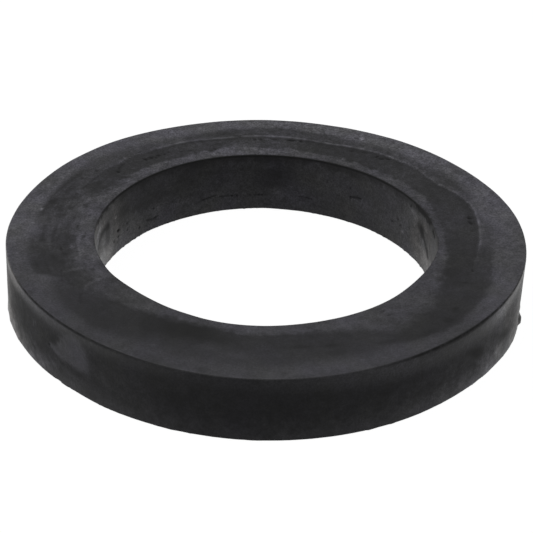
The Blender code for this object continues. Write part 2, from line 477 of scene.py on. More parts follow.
# the edges' own straying
share = np.clip(dep / HEIGHT, 0, 1)
w_out = smooth(rho, 43.5, 47.2)
w_in = 1 - smooth(rho, 32.2, 35.5)
stray = w_out * (stray_out_top(theta) * (1 - share) + stray_out_base(theta) * share)
stray += w_in * (stray_in_top(theta) * (1 - share) + stray_in_base(theta) * share)

radial = np.stack([np.cos(theta), np.sin(theta), np.zeros_like(theta)], -1)
co += normal * h[:, None]
co += radial * (stray + 0.53 * tab - 0.10 * notch)[:, None]
co[:, 2] = np.maximum(co[:, 2], 0.0)
mesh.vertices.foreach_set("co", (co * MM).astype(np.float32).reshape(-1))
mesh.update()


# ---------------------------------------------------------------- tone of the rubber, with painted light and shade
# Where the grey bloom of the outer band ends and how softly, in mm
bloom_end = ring_curve([
    (330, 44.0), (336, 43.5), (342, 42.7), (348, 41.7), (354, 41.7), (0, 42.3), (6, 41.9), (12, 41.0), (18, 41.2),
    (25, 43.0), (34, 43.3), (42, 42.6), (48, 42.7), (55, 43.2), (66, 42.7), (78, 43.3), (87, 43.9), (98, 43.4),
    (108, 43.0), (120, 42.8), (128, 43.5), (144, 44.2), (156, 43.3), (168, 43.0), (175, 43.1), (181, 42.3),
    (187, 43.4), (194, 44.0), (200, 44.1), (202.5, 43.9), (204.5, 42.5), (207.5, 42.7), (212, 43.8), (224, 44.5), (230, 44.7),
    (238, 43.8), (246, 43.2), (258, 44.0), (274, 43.9), (287, 43.2), (294, 43.6), (300, 43.3), (306, 44.3), (312, 45.0),
    (318, 45.0), (324, 44.4),
])
bloom_soft = ring_curve([
    (330, 0.9), (345, 0.7), (0, 0.8), (15, 0.8), (30, 1.2), (45, 1.2), (60, 0.8), (90, 0.6), (112, 0.9), (135, 1.7),
    (146, 1.5), (153, 0.5), (162, 0.5), (170, 0.5), (180, 1.6), (187, 0.9), (200, 0.8), (204, 0.7), (212, 1.7), (225, 1.1),
    (245, 2.1), (275, 2.2), (292, 1.7), (302, 0.8), (318, 0.8),
])
# How softly the zone outside the step meets the one inside it: a sharp step behind, a haze in front
line_soft = ring_curve([
    (0, 0.28), (30, 0.30), (90, 0.25), (125, 0.30), (145, 0.5), (160, 0.9), (175, 1.4), (190, 0.9), (203, 0.9), (215, 1.8),
    (240, 2.4), (265, 2.2), (290, 2.2), (310, 2.4), (330, 1.8), (340, 1.1), (350, 0.5),
])
# Where the dark zone ends towards the bore and how softly, in mm
dark_end = ring_curve([
    (330, 35.2), (338, 34.5), (344, 34.0), (350, 33.3), (0, 33.0), (12, 33.1), (20, 33.4), (28, 33.9), (40, 34.0),
    (50, 33.8), (60, 34.1), (75, 34.3), (88, 34.6), (94, 34.7), (96.3, 35.1), (98, 35.9), (100.5, 36.2), (103, 36.1), (105, 35.3),
    (112, 34.9), (125, 34.5), (135, 34.8), (145, 34.5), (155, 34.6), (160, 36.0), (170, 36.5), (180, 34.8),
    (186, 35.2), (196, 36.2), (206, 36.3), (213, 36.3), (217, 37.2), (223, 36.5), (230, 35.6), (237, 34.9),
    (246, 34.1), (256, 33.8), (262, 34.4), (270, 34.5), (282, 34.6), (290, 35.3), (296, 36.3), (301, 38.0),
    (307, 38.4), (313, 38.1), (319, 37.4), (325, 36.3),
])
dark_soft = ring_curve([
    (330, 1.1), (345, 0.5), (0, 0.45), (30, 0.5), (60, 0.40), (90, 0.5), (97, 0.5), (103, 0.5), (120, 0.5), (150, 0.6),
    (160, 1.6), (172, 1.8), (183, 1.3), (198, 2.2), (208, 2.0), (216, 1.3), (226, 1.0), (240, 1.2), (250, 1.3), (258, 0.9),
    (272, 0.7), (285, 0.9), (296, 1.9), (305, 2.8), (315, 2.8), (324, 1.7),
])
# Tone of the bands of the upper face, with painted light: each band is darker in front than behind, where less light
# falls
outer_tone_and_falloff = ring_curve([
    (0, 0.090), (12, 0.100), (30, 0.102), (48, 0.110), (70, 0.110), (100, 0.111), (125, 0.108), (150, 0.096), (172, 0.098),
    (180, 0.106), (188, 0.092), (198, 0.074), (206, 0.068), (215, 0.062), (228, 0.053), (246, 0.046), (258, 0.057), (272, 0.061),
    (290, 0.060), (305, 0.056), (320, 0.064), (330, 0.082), (345, 0.082), (352, 0.084),
])
middle_tone_and_falloff = ring_curve([
    (0, 0.064), (6, 0.066), (12, 0.065), (19, 0.056), (26, 0.052), (36, 0.047), (43, 0.056), (50, 0.050), (62, 0.050),
    (78, 0.036), (90, 0.040), (103, 0.036), (112, 0.048), (119, 0.062), (127, 0.048), (140, 0.048), (150, 0.038),
    (160, 0.036), (170, 0.036), (180, 0.056), (187, 0.042), (198, 0.025), (206, 0.035), (222, 0.019), (240, 0.022),
    (255, 0.033), (275, 0.033), (288, 0.023), (295, 0.032), (303, 0.021), (318, 0.018), (327, 0.022), (338, 0.027),
    (347, 0.032), (354, 0.042),
])
dark_tone_and_falloff = ring_curve([
    (0, 0.026), (12, 0.030), (30, 0.022), (42, 0.029), (54, 0.019), (66, 0.021), (78, 0.024), (86, 0.038), (96, 0.040),
    (104, 0.032), (116, 0.032), (126, 0.026), (140, 0.024), (150, 0.027), (157, 0.032), (164, 0.044), (172, 0.048),
    (180, 0.036), (190, 0.024), (200, 0.024), (208, 0.024), (216, 0.030), (222, 0.023), (230, 0.020), (238, 0.011),
    (246, 0.004), (253, 0.004), (260, 0.017), (270, 0.023), (280, 0.021), (290, 0.023), (297, 0.028), (304, 0.030),
    (314, 0.026), (327, 0.020), (335, 0.017), (345, 0.018),
])
inner_tone_and_falloff = ring_curve([
    (0, 0.058), (12, 0.056), (30, 0.067), (54, 0.065), (70, 0.064), (84, 0.080), (98, 0.092), (110, 0.087), (122, 0.075),
    (140, 0.073), (150, 0.069), (165, 0.078), (178, 0.070), (192, 0.083), (199, 0.078), (204, 0.056), (210, 0.061),
    (216, 0.048), (223, 0.056), (240, 0.069), (255, 0.067), (275, 0.070), (287, 0.062), (294, 0.074), (306, 0.060),
    (314, 0.068), (330, 0.061), (342, 0.056), (350, 0.062),
])
# How pale the crest of the step is, from wear and a painted highlight behind where the step faces the light, and how
# dark the rim at the outer upper edge is, from painted shade and dark reflection with some rubbed bloom
crest_wear_and_highlight = ring_curve([
    (345, 0.0), (352, 0.20), (357, 0.35), (2, 0.45), (8, 0.75), (14, 0.75), (20, 0.50), (23, 0.10), (27, 0.40), (33, 0.55),
    (37, 0.45), (40, 0.10), (46, 0.40), (52, 0.55), (58, 0.60), (63, 0.90), (70, 1.10), (77, 1.05), (84, 1.05), (92, 1.1),
    (97.9, 1.1), (98.6, 0.30), (99.3, 1.05), (104, 1.0), (109, 0.85), (114, 1.1), (119, 1.0), (124, 0.65), (129, 0.30),
    (137, 0.20), (141, 0.15), (147, 0.05), (157, 0.05), (165, 0.0), (200, 0.0), (270, 0.0), (330, 0.0),
])
rim_shade_and_rub = ring_curve([
    (188, 0.0), (193, 0.3), (200, 0.7), (206, 0.95), (230, 0.9), (243, 0.6), (252, 0.25), (262, 0.0), (285, 0.0), (293, 0.35),
    (302, 0.9), (330, 1.0), (338, 0.8), (345, 0.55), (350, 0.2), (356, 0.0), (30, 0.0), (90, 0.0), (150, 0.0),
])
rim_width = ring_curve([
    (188, 0.08), (205, 0.22), (225, 0.30), (250, 0.16), (290, 0.18), (302, 0.38), (312, 0.52), (322, 0.50), (330, 0.29),
    (338, 0.18), (350, 0.12), (30, 0.06), (90, 0.06), (150, 0.06),
])


def tone_top(t, r, slow, mid, fine, streak, wobble):
    """Tone of the upper face, with painted light and shade."""
    outer, middle, dark, inner = outer_tone_and_falloff(t), middle_tone_and_falloff(t), dark_tone_and_falloff(t), inner_tone_and_falloff(t)
    s, e1, e2, w1, w2 = step_radius(t), bloom_end(t), dark_end(t), bloom_soft(t), dark_soft(t)
    e1 = e1 + 0.8 * mid + 0.5 * fine + 0.4 * streak
    e2 = e2 + 0.4 * mid + 0.45 * fine + 0.30 * streak
    wear_and_highlight = np.clip(crest_wear_and_highlight(t), 0, 1.1)
    steady = smooth(wear_and_highlight, 0.6, 0.95)
    s = s + 0.22 * wobble * (1 - 0.65 * steady)
    haze = line_soft(t)
    k_line = smooth(r + 0.5 * mid * np.clip(haze - 0.3, 0, 1), s - 0.1 - haze, s - 0.1 + haze)
    k_band = smooth(r, e1 - w1, e1 + w1)
    k_in = 1 - smooth(r, e2 - w2, e2 + w2)
    a = dark + (middle - dark) * k_line
    a = a + (outer - a) * k_band
    a = a + (inner - a) * k_in
    # crest of the step, pale here and there from wear and a painted highlight, and a painted shade at its foot
    patchy = np.clip(1 + (1 - 0.80 * steady) * (0.9 * fine + 0.5 * mid), 0.15, 1.6)
    a = a + 0.056 * wear_and_highlight * patchy * (1 - smooth(np.abs(r - s - 0.12), 0.04, 0.28 - 0.07 * steady))
    a = a * (1 - 0.35 * wear_and_highlight * patchy * (1 - smooth(np.abs(r - s + 0.55), 0.15, 0.6)))

    def mark(at, r0, along, across, amount, soft=0.6, turn=0.0):
        nonlocal a
        x = 1 + 0.7 * fine + 0.5 * mid
        a = a * (1 + amount * np.clip(x, 0, 1.6) * patch(t, r, at, r0, along, across, 39.0, soft, turn))

    mark(204, 37.1, 0.45, 1.5, 0.7, 0.7)
    mark(205.8, 41.6, 1.1, 1.5, 0.30, 0.7)
    mark(198.0, 40.6, 3.4, 2.4, -0.22, 0.4)
    mark(156, 42.6, 2.8, 0.45, -0.50)
    mark(166.3, 42.0, 0.9, 0.7, -0.70, 0.5)
    mark(169.0, 42.55, 2.0, 0.22, -0.6, 0.8)
    mark(167.8, 41.4, 1.4, 0.4, -0.35, 0.7, 15)
    mark(181.5, 40.6, 1.6, 0.35, -0.30, 0.8)
    mark(181.0, 38.8, 2.6, 0.30, -0.35, 0.8)
    mark(186.0, 36.4, 2.6, 0.35, -0.30, 0.8)
    mark(172.5, 42.2, 0.5, 0.35, -0.45)
    mark(151.6, 37.4, 1.4, 0.6, -0.55)
    mark(155.6, 36.8, 1.0, 0.4, -0.45)
    mark(143.5, 37.6, 2.2, 0.8, -0.45, 0.7, -12)
    mark(139.2, 38.5, 1.4, 0.7, -0.35, 0.8, -25)
    mark(128.3, 37.3, 3.2, 0.58, -0.45, 0.7)
    mark(117.5, 36.5, 1.3, 0.35, -0.35, 0.7)
    mark(75.5, 43.3, 0.35, 0.9, -0.45, 0.8, -25)
    mark(77.0, 42.4, 0.5, 0.5, -0.35)
    mark(83.5, 43.9, 0.4, 0.5, -0.35)
    mark(87.0, 43.4, 0.4, 0.8, -0.30)
    mark(102.0, 41.4, 1.2, 0.5, -0.30)
    mark(107.5, 41.2, 0.7, 0.4, -0.35)
    mark(286.3, 39.3, 1.1, 0.65, -0.55)
    mark(286.8, 41.6, 1.2, 0.9, -0.22)
    mark(279, 38.7, 1.7, 0.50, -0.42)
    mark(299.5, 42.0, 1.7, 0.5, -0.40, 0.6, 12)
    mark(310, 43.6, 1.6, 0.6, -0.35)
    mark(316.6, 43.2, 0.9, 0.9, -0.55)
    mark(321.5, 42.0, 1.0, 0.5, -0.55, 0.6, -20)
    mark(333.5, 39.0, 1.2, 0.5, -0.30)
    mark(338.2, 38.8, 1.0, 0.6, -0.30)
    mark(337.0, 36.0, 1.6, 0.5, -0.25)
    mark(352.0, 39.9, 1.5, 0.3, -0.25)
    mark(225.4, 39.8, 0.5, 0.9, -0.30, 0.7, -20)
    mark(214.6, 33.0, 0.9, 0.9, -0.35)
    mark(88, 38.6, 0.9, 0.28, -0.45)
    mark(96.5, 38.5, 0.8, 0.24, -0.35)
    mark(10.0, 38.8, 2.2, 0.7, -0.35)
    mark(22, 39.7, 1.0, 0.45, -0.35)
    mark(17, 39.5, 1.2, 0.3, -0.35)
    mark(54.0, 38.9, 2.0, 0.6, -0.35, 0.7, -20)
    mark(62.5, 38.5, 1.6, 0.5, -0.35)
    mark(43.0, 41.3, 0.9, 0.5, -0.35, 0.7, -20)
    mark(30.0, 41.6, 2.4, 0.7, -0.25, 0.7)
    a = a * (1 + 0.55 * stroke(t, r, ((41.6, 35.9), (43.4, 37.2), (45.0, 38.4)), 0.22, 39.0, 0.9))
    a = a * (1 + 0.35 * stroke(t, r, ((38.4, 39.6), (41.0, 41.0), (43.0, 41.9)), 0.25, 39.0, 0.9))
    mark(92.0, 35.2, 1.2, 0.5, -0.35)
    mark(108.0, 35.6, 1.2, 0.4, -0.22)
    # the bore's upper edge is ragged at the right
    for at, r0, along, across in ((16.3, 31.78, 0.9, 0.42), (12.4, 31.70, 0.7, 0.32), (19.2, 31.72, 0.9, 0.32), (22.4, 31.68, 0.8, 0.26)):
        mark(at, r0, along, across, -0.80, 0.5)
    # fine scratches across the outer band, behind
    for scratch, amount in (
        (((73.6, 42.2), (76.0, 45.0)), -0.50), (((72.4, 42.6), (74.0, 44.4)), -0.30), (((76.2, 42.6), (77.4, 44.2)), 0.25),
        (((83.4, 44.4), (84.6, 43.3)), -0.45), (((86.6, 43.9), (87.0, 42.6)), -0.40), (((92.6, 44.8), (93.6, 43.6)), -0.25),
        (((108.2, 45.6), (109.8, 43.8)), 0.30), (((110.4, 45.0), (111.8, 43.6)), 0.25), (((102.0, 42.2), (102.8, 40.8)), -0.35),
        (((117.0, 42.6), (118.6, 41.6)), -0.35), (((66.0, 42.0), (67.4, 40.8)), 0.25),
    ):
        a = a * (1 + amount * stroke(t, r, scratch, 0.20, 43.0, 0.9))
    for at, r0, size in ((185, 33.6, 0.75), (206, 34.3, 0.85)):
        q = np.hypot(turn_gap(t, at) * 34.0, r - r0) / size
        a = a * (1 + 0.28 * (1 - smooth(np.abs(q - 1), 0.1, 0.5)) - 0.35 * (1 - smooth(q, 0.3, 0.8)))
    a = a * (1 + 0.8 * stroke(t, r, ((212.2, 34.6), (212.7, 36.4), (213.7, 37.6), (215.2, 38.4)), 0.40, 39.0, 0.9))
    # mottled and streaked, most where the bloom is thin at the left
    left = 1 - smooth(np.abs(np.degrees(turn_gap(t, 178))), 14, 40)
    back = 0.5 + 0.5 * np.sin(t)
    inward = 1 - k_band
    a = a * (1 + 0.16 * slow + (0.20 + 0.06 * back + (0.10 + 0.12 * left) * inward) * mid + (0.22 + 0.16 * back + 0.18 * back * inward) * fine
             + (0.12 + (0.10 + 0.40 * inward) * left) * streak)
    # painted shade along the bore's edge, deepest behind; and at the outer edge in front a dark rim, partly painted
    # shade and dark reflection on the round, partly rubbed bloom
    bore_edge_shade = 0.25 + 0.65 * smooth(np.sin(t), 0.05, 0.35)
    a = a * (1 - bore_edge_shade * (1 - smooth(r, B_TOP + 0.10, B_TOP + 0.36)))
    edge = R_TOP - 0.06 - 0.30 * rim_width(t)
    broken = np.clip(1 + 0.8 * fine, 0.3, 1)
    a = a * (1 - 0.92 * np.clip(rim_shade_and_rub(t), 0, 1) * broken * smooth(r, edge - 0.12, edge + 0.10))
    return a


# Outer wall: tone half-way up, and what the bands near its two edges add. All three rise steeply towards the left and
# right ends, which is painted reflection seen at a grazing angle
wall_mid_and_sheen = ring_curve([
    (187, 0.15), (193, 0.152), (196, 0.106), (199, 0.074), (202, 0.045), (206, 0.030), (215, 0.021), (235, 0.022), (245, 0.0175),
    (258, 0.015), (272, 0.0155), (290, 0.021), (300, 0.022), (312, 0.027), (320, 0.029), (326, 0.055), (332, 0.082),
    (338, 0.092), (343, 0.092), (350, 0.090), (0, 0.065), (15, 0.045), (45, 0.036), (90, 0.032), (135, 0.036), (160, 0.048), (175, 0.085),
])
wall_top_band_and_sheen = ring_curve([
    (187, 0.05), (194, 0.086), (198, 0.156), (202, 0.174), (206, 0.127), (210, 0.082), (215, 0.056), (222, 0.024), (230, 0.008),
    (240, 0.001), (255, 0.010), (270, 0.014), (285, 0.016), (298, 0.024), (305, 0.009), (315, 0.006), (325, 0.020), (329, 0.064),
    (333, 0.074), (338, 0.036), (345, 0.02), (0, 0.018), (45, 0.014), (90, 0.014), (135, 0.016), (170, 0.04),
])
wall_base_band_and_sheen = ring_curve([
    (187, 0.26), (194, 0.290), (198, 0.225), (202, 0.120), (206, 0.068), (210, 0.068), (215, 0.060), (220, 0.032), (228, 0.014),
    (235, 0.003), (242, 0.008), (250, 0.012), (262, 0.015), (280, 0.018), (295, 0.017), (306, 0.033), (314, 0.060), (320, 0.070),
    (326, 0.096), (332, 0.093), (338, 0.074), (345, 0.06), (0, 0.035), (45, 0.022), (90, 0.020), (135, 0.024), (170, 0.07),
])
# How deep the band below the upper edge reaches, in mm
wall_reach = ring_curve([
    (187, 2.8), (200, 3.1), (207, 2.9), (215, 3.3), (235, 3.0), (270, 3.6), (295, 4.4), (310, 4.9), (322, 5.3), (330, 4.6), (340, 3.6),
    (350, 3.2), (90, 3.2),
])
wall_peak = ring_curve([
    (187, 1.2), (205, 1.1), (235, 1.1), (270, 1.0), (295, 1.5), (305, 2.2), (322, 2.2), (330, 1.7), (340, 1.2), (90, 1.2),
])


def tone_out(t, d, slow, mid, fine, streak):
    """Tone, with painted sheen and shade, and roughness of the outer wall, and how much of it is the scuff."""
    deg = np.degrees(t) % 360
    signed = (deg + 180) % 360 - 180
    behind = smooth(deg, 148, 180)
    dd = d + 0.5 * mid + 0.4 * fine
    peak, reach = wall_peak(t), wall_reach(t)
    near_top = np.where(dd < peak, 1.0, (1 - smooth(dd, peak - 0.4, reach)))
    far_left = (1 - smooth(deg, 197, 206)) * behind
    near_base = (0.45 + 0.2 * far_left) * smooth(dd, 7.6 - 0.8 * far_left, 10.2) + (0.55 - 0.2 * far_left) * smooth(dd, 9.6, 12.0)
    # painted reflection: the three tones are far lighter towards the wall's two ends
    a = wall_mid_and_sheen(t) + wall_top_band_and_sheen(t) * near_top + wall_base_band_and_sheen(t) * near_base
    # a painted highlight along the bottom edge at the left
    a = a + 0.075 * smooth(dd, 10.8, 11.8) * behind * (1 - smooth(deg, 208, 222))
    rough = 0.70 - 0.26 * near_top - 0.22 * near_base
    left_end = (1 - smooth(deg, 193, 200)) * behind
    ends = np.clip(left_end + smooth(signed, -23, -16) * (1 - smooth(signed, 2, 34)), 0, 1)
    rough = np.minimum(rough, 0.70 - 0.16 * ends - 0.13 * left_end * smooth(d, 6.2, 8.4))
    # a pale scuff at the left
    left = np.interp(d, [1.0, 2.2, 3.4, 4.6, 5.2, 5.8, 6.4, 7.2], [227.0, 224.6, 223.2, 222.8, 222.0, 219.6, 220.2, 222.5])
    right = np.interp(d, [1.0, 2.2, 3.2, 4.5, 6.0, 7.6], [228.4, 230.0, 231.2, 232.0, 232.4, 231.9])
    jag = 1.1 * mid + 0.9 * fine
    scuff = smooth(deg + jag, left - 1.1, left + 1.0) * (1 - smooth(deg + jag, right - 1.3, right + 1.0))
    scuff = scuff * smooth(d, 0.9, 1.9) * (1 - smooth(d + 0.5 * fine, 6.9, 7.9))
    a = a + 0.048 * scuff * np.clip(1 - 0.45 * near_top, 0, 1)
    # dark and pale patches; the pale one at 331.5 degrees just under the upper edge is a painted highlight
    for at, d0, along, across, amount, turn in (
        (220.7, 4.6, 1.1, 1.0, -0.6, 0), (226.5, 8.4, 2.4, 0.6, -0.20, 0), (199.5, 7.2, 1.2, 0.9, -0.30, 0),
        (219.5, 9.4, 3.2, 1.2, 0.35, -30), (236.5, 7.0, 1.2, 0.5, 0.4, 40), (239.0, 5.6, 0.9, 0.4, 0.35, 30),
        (296, 5.4, 1.2, 0.6, -0.35, 0), (320.8, 6.0, 1.9, 1.0, -0.85, 25), (318.0, 4.9, 1.4, 0.6, -0.5, 25),
        (333, 7.4, 2.7, 1.1, -0.60, 18), (328, 5.6, 2.0, 0.7, -0.35, 30), (337.5, 5.2, 1.2, 0.8, -0.3, 30),
        (288, 6.7, 1.2, 0.35, -0.3, 0), (252.0, 6.2, 2.2, 1.3, -0.25, 0), (233.5, 3.9, 0.9, 0.8, -0.3, 0),
        (303, 4.6, 3.0, 0.9, -0.25, 0), (329.8, 9.1, 1.2, 0.9, 0.6, 10), (331.5, 2.4, 2.2, 0.9, 0.30, 15),
        (213.5, 4.4, 0.5, 1.0, 0.45, -10), (208.5, 5.0, 0.7, 1.6, -0.25, -15), (204.5, 3.6, 0.8, 1.2, -0.25, -15),
    ):
        shape = np.clip(1 + 0.6 * fine + 0.5 * mid, 0, 1.6)
        a = a * (1 + amount * shape * patch(t, d, at, d0, along, across, 47.67, 0.7, turn))
    sides = np.clip(np.abs(np.cos(t)) * 1.4 - 0.3, 0, 1)
    even = 1 - 0.6 * scuff
    a = a * (1 + 0.17 * slow * even + (0.26 + 0.10 * sides) * even * mid + (0.30 + 0.27 * sides) * even * fine)
    # dark rim under the upper edge, deepest at the right front: painted shade and dark reflection on the round, with
    # some rubbed bloom
    rim = rim_width(t)
    k = np.clip(rim_shade_and_rub(t), 0, 1) * (1 - smooth(d + 0.12 * fine, 0.75 * rim + 0.05, 1.45 * rim + 0.18)) * np.clip(1 + 0.8 * fine, 0.4, 1)
    a = a * (1 - 0.92 * k)
    rough = rough + (0.80 - rough) * k
    return a, rough, scuff


# Bore wall: tone at mid height and near the underside, painted far lighter towards both ends, a painted reflection seen
# at a grazing angle
bore_mid_and_sheen = ring_curve([
    (0, 0.075), (8, 0.074), (14, 0.074), (20, 0.074), (27, 0.070), (33, 0.052), (40, 0.044), (60, 0.043), (75, 0.044), (90, 0.030),
    (105, 0.036), (120, 0.028), (130, 0.034), (140, 0.031), (148, 0.036), (154, 0.042), (158, 0.080), (162, 0.068),
    (167, 0.098), (172, 0.13), (180, 0.13), (200, 0.09), (270, 0.05), (330, 0.06),
])
bore_low_and_sheen = ring_curve([
    (0, 0.13), (14, 0.156), (18, 0.146), (23, 0.105), (27, 0.068), (33, 0.058), (40, 0.049), (50, 0.046), (60, 0.041), (75, 0.046), (90, 0.050),
    (105, 0.055), (120, 0.060), (130, 0.066), (140, 0.069), (148, 0.096), (154, 0.120), (159, 0.140), (164, 0.164),
    (172, 0.148), (180, 0.13), (200, 0.09), (270, 0.06), (330, 0.07),
])


def tone_in(t, d, slow, mid, fine, streak):
    """Tone, with painted sheen and shade, and roughness of the bore wall."""
    deg = np.degrees(t) % 360
    signed = (deg + 180) % 360 - 180
    near = 1 - smooth(deg, 184, 215)
    dd = d + 0.8 * mid + 0.4 * fine
    late = smooth(deg, 158, 165) * near
    low = smooth(dd, 4.8 + 1.6 * late, 10.6 + 0.9 * late)
    a = bore_mid_and_sheen(t) * (1 - low) + bore_low_and_sheen(t) * low
    rough = np.full_like(a, 0.62)
    ends = np.clip(smooth(deg, 156, 167) * near + (1 - smooth(signed, 13, 22)) * smooth(signed, -35, -4), 0, 1)
    rough = rough - 0.19 * ends * smooth(dd, 7.2, 9.4)
    # darker just below the upper edge, less so at the left end
    under_edge = 1 - smooth(dd, 0.9, 2.3)
    a = a * (1 - (0.55 - 0.35 * smooth(deg, 150, 162) * near) * under_edge)
    # the long dark blotches at both ends
    ragged = d + 0.5 * fine + 0.5 * mid
    right = stroke(t, ragged, ((20.9, 3.9), (18.9, 4.4), (17.4, 5.6)), 0.92, 31.6, 0.6)
    right = np.maximum(right, 0.8 * stroke(t, ragged, ((17.0, 5.7), (13.6, 6.6)), 0.55, 31.6, 0.7))
    right = np.maximum(right, stroke(t, ragged, ((13.2, 7.0), (11.0, 8.1)), 0.62, 31.6, 0.7))
    left = stroke(t, d, ((174.4, 5.9), (172.8, 4.9), (170.8, 4.4), (166.2, 4.3), (163.4, 4.5)), 0.60, 31.6, 0.8)
    blot = np.clip(1 + 0.8 * fine + 0.5 * mid, 0.2, 1.25)
    a = a * (1 - 0.74 * np.clip(right * blot, 0, 1)) * (1 - 0.72 * np.clip(left * blot, 0, 1))
    # pale streaks on both sides of the left one
    a = a * (1 + 0.50 * stroke(t, d, ((179.0, 5.2), (177.5, 3.5), (175.0, 2.7), (172.0, 2.3)), 0.34, 31.6, 0.8))
    a = a * (1 + 0.30 * stroke(t, d, ((170.4, 5.4), (169.2, 6.9), (169.0, 8.6)), 0.28, 31.6, 0.8))
    rough = rough + 0.10 * np.clip(right + left, 0, 1)
    for at, d0, along, across, amount, turn in (
        (164.3, 5.5, 1.0, 1.9, -0.62, 0), (163.5, 7.6, 0.5, 0.8, -0.30, 0), (170.8, 4.5, 1.3, 0.9, -0.50, 0),
        (171.5, 2.7, 2.8, 0.50, 0.45, 0), (167.4, 6.8, 0.7, 0.6, 0.45, 0), (160.5, 5.8, 0.7, 0.5, 0.3, 0),
        (18.4, 4.4, 1.2, 1.0, -0.62, 30), (9.5, 5.6, 0.5, 0.7, -0.3, 30), (22.8, 4.7, 0.9, 1.7, 0.42, 0), (22.4, 1.7, 0.8, 0.5, -0.45, 0),
        (166.0, 3.9, 1.2, 0.7, -0.32, 0), (161.5, 1.8, 1.8, 0.6, 0.22, 0),
        (13.5, 3.2, 2.4, 0.55, 0.35, 14), (8.0, 5.0, 0.9, 0.7, 0.25, 30), (12.0, 9.3, 0.9, 0.6, 0.35, 0),
        (23.5, 3.2, 1.2, 0.6, 0.35, 0), (26.5, 2.2, 1.0, 0.45, 0.45, 0), (31.6, 8.4, 0.6, 0.4, 0.4, 20),
        (84, 4.8, 2.6, 1.8, -0.25, 0), (88, 4.2, 1.6, 1.0, -0.25, 0), (121.6, 2.5, 1.1, 1.0, -0.25, 0),
        (152, 4.2, 2.0, 0.9, -0.40, 12), (150.5, 5.0, 1.2, 0.6, -0.35, 10), (141, 5.8, 3.0, 0.7, -0.30, -6),
        (133.5, 4.8, 2.4, 0.6, -0.30, -14), (124, 3.9, 1.5, 0.5, -0.30, 10), (108, 3.5, 2.6, 0.5, -0.22, 0),
        (97, 3.4, 2.2, 0.5, -0.18, 0), (140, 2.9, 0.9, 0.35, -0.3, 0), (132, 6.0, 1.4, 0.4, -0.25, 0),
        (10, 1.8, 2.4, 0.8, -0.30, 0),
    ):
        shape = np.clip(1 + 0.7 * fine + 0.5 * mid, 0, 1.6)
        a = a * (1 + amount * shape * patch(t, d, at, d0, along, across, 31.6, 0.7, turn))
    calm = np.clip(np.sin(t), 0, 1) ** 2
    a = a * (1 + 0.2 * slow + (0.28 - 0.10 * calm) * mid + (0.30 - 0.06 * calm) * fine + 0.12 * streak)
    # painted shade: a dark line under the upper edge, and blotches on it at the right
    line = 0.30 + 0.12 * fine + 0.16 * patch(t, d * 0, 70, 0, 22.0, 1.0, 31.6, 0.5)
    k = (1 - smooth(d, line, line + 0.25)) * smooth(deg, 12, 20) * (1 - 0.22 * smooth(deg, 150, 162)) * (1 - smooth(deg, 174, 181))
    # it widens into a ragged band at the right
    deep = 1.05 * smooth(deg, 8, 12) * (1 - smooth(deg, 21, 33)) * (1 + 0.9 * fine + 0.5 * mid)
    k = np.maximum(k, 0.88 * (1 - smooth(d, deep, deep + 0.35)) * smooth(deep, 0.1, 0.5))
    for at, d0, along, across in ((16.8, 0.50, 0.85, 0.65), (18.8, 0.70, 0.60, 0.55), (12.5, 0.85, 0.65, 0.60), (6.9, 1.35, 0.70, 0.45),
                                  (22.5, 0.60, 0.6, 0.40), (4.7, 1.5, 0.4, 0.4), (173.8, 0.60, 0.9, 0.36), (169.6, 0.60, 0.7, 0.40),
                                  (164.2, 0.45, 0.7, 0.34), (158.6, 0.40, 0.6, 0.32)):
        k = np.maximum(k, patch(t, d, at, d0, along, across, 31.6, 0.5))
    a = a * (1 - 0.92 * k)
    rough = rough + (0.8 - rough) * k
    return a, rough


def small_marks(theta, rho, dep, face):
    """Change of tone of the pits, specks and cracks; the darkening of pits and cracks is painted shade in the hollows.
    """
    m = np.ones_like(theta)
    across = {0: rho, 1: dep, 2: dep}
    number = {"top": 0, "in": 1, "out": 2}
    for name, a, u, h1, h2, turn, _, amount in PITS + SPECKS:
        n = number[name]
        near = (face == n) & (np.abs(turn_gap(theta, a)) < 0.06)
        if near.any():
            m[near] *= 1 + amount * patch(theta[near], across[n][near], a, u, h1, h2, RAD[name], 0.6, turn)
    for name, points, w, _, amount in CRACKS:
        n = number[name]
        near = (face == n) & (np.abs(turn_gap(theta, points[0][0])) < 0.2)
        m[near] *= 1 + amount * stroke(theta[near], across[n][near], points, w, RAD[name])
    return m


albedo_and_painted_light = 0.030 * (1 + 0.3 * slow + 0.4 * mid + 0.3 * fine)
rough = np.full(len(co), 0.60)
grain = np.full(len(co), 0.6)
tint = np.full(len(co), 0.35)
k = face == 0
albedo_and_painted_light[k] = tone_top(theta[k], rho[k], slow[k], mid[k], fine[k], streak[k], wobble[k])
rough[k] = 0.55
grain[k] = 0.74 + 0.34 * np.sin(theta[k]) + 0.10 * (rho[k] < 39)
# the crest of the step is worn smooth
crest = 1 - smooth(np.abs(rho[k] - step_radius(theta[k]) - 0.12), 0.25, 0.5)
grain[k] *= 1 - 0.7 * crest * smooth(crest_wear_and_highlight(theta[k]), 0.5, 0.95)
tint[k] = 0.78 + 0.50 * hue[k]
k = face == 2
albedo_and_painted_light[k], rough[k], scuffed = tone_out(theta[k], dep[k], slow[k], mid[k], fine[k], streak[k])
grain[k] = (0.46 + 0.24 * np.abs(np.cos(theta[k]))) * (1 - 0.5 * scuffed)
# random hue, turned warm towards the left and right ends: painted warm reflection seen at a grazing angle
tint[k] = 0.64 + 0.4 * hue[k] - 0.60 * smooth(np.abs(np.cos(theta[k])), 0.80, 0.97)
k = face == 1
albedo_and_painted_light[k], rough[k] = tone_in(theta[k], dep[k], slow[k], mid[k], fine[k], streak[k])
grain[k] = 0.72
